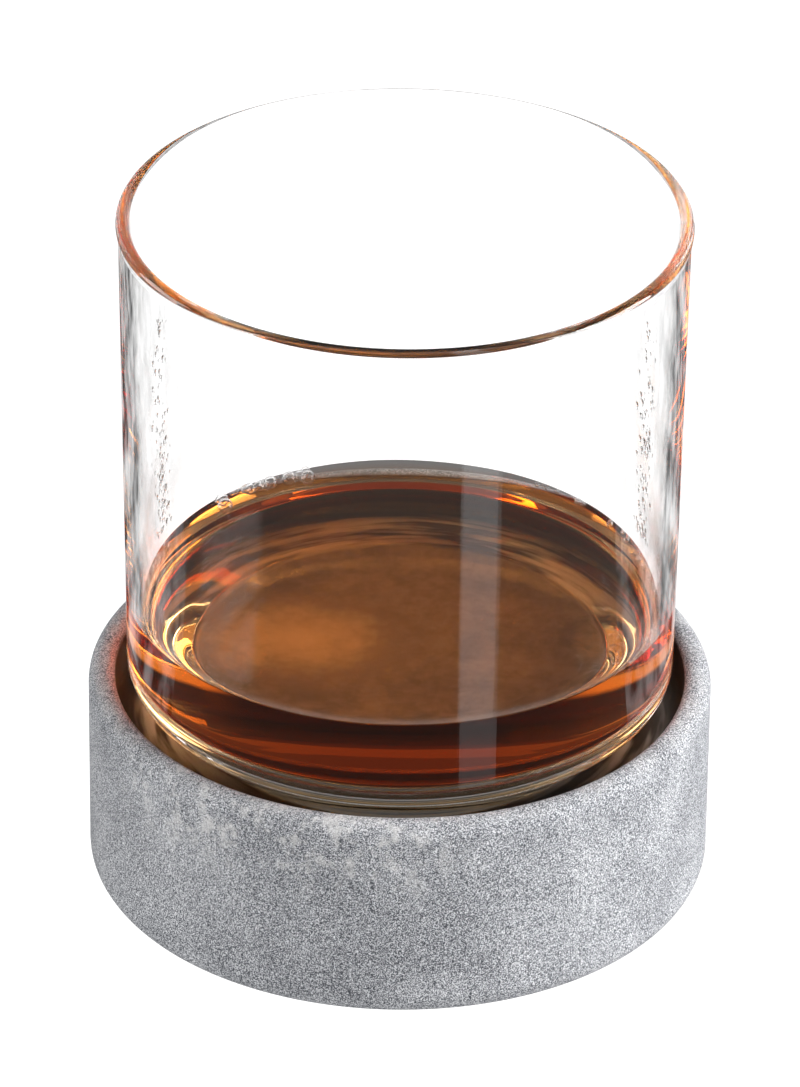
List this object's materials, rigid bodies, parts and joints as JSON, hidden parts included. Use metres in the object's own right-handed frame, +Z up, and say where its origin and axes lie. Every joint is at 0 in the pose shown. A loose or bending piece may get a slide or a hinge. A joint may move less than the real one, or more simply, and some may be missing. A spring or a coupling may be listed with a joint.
{
  "type": "whiskey tumbler",
  "caption": "Straight-sided clear glass tumbler with a rounded rim, holding a measure of whiskey and standing in the recess of a turned soapstone base.",
  "frame": {"origin": "centre of the soapstone base's underside, on the table", "axes": "+Z up along the axis that the base and the tumbler share; the object is round, so X and Y are free, and -Y is the side seen from the front"},
  "size_m": [0.0932, 0.0932, 0.1085],
  "materials": {
    "soapstone": "matte, fine speckle, turned",
    "clear_glass": "clear, fire-polished rim",
    "whiskey": "clear amber liquid"
  },
  "bodies": {
    "base": {"stone_base": "soapstone"},
    "tumbler": {"glass_tumbler": "clear_glass", "whiskey": "whiskey"}
  },
  "joints": [
    {"name": "glass_lift", "type": "slide", "parent": "base", "child": "tumbler", "axis": [0, 0, 1], "range_m": [0, 0.035]}
  ]
}
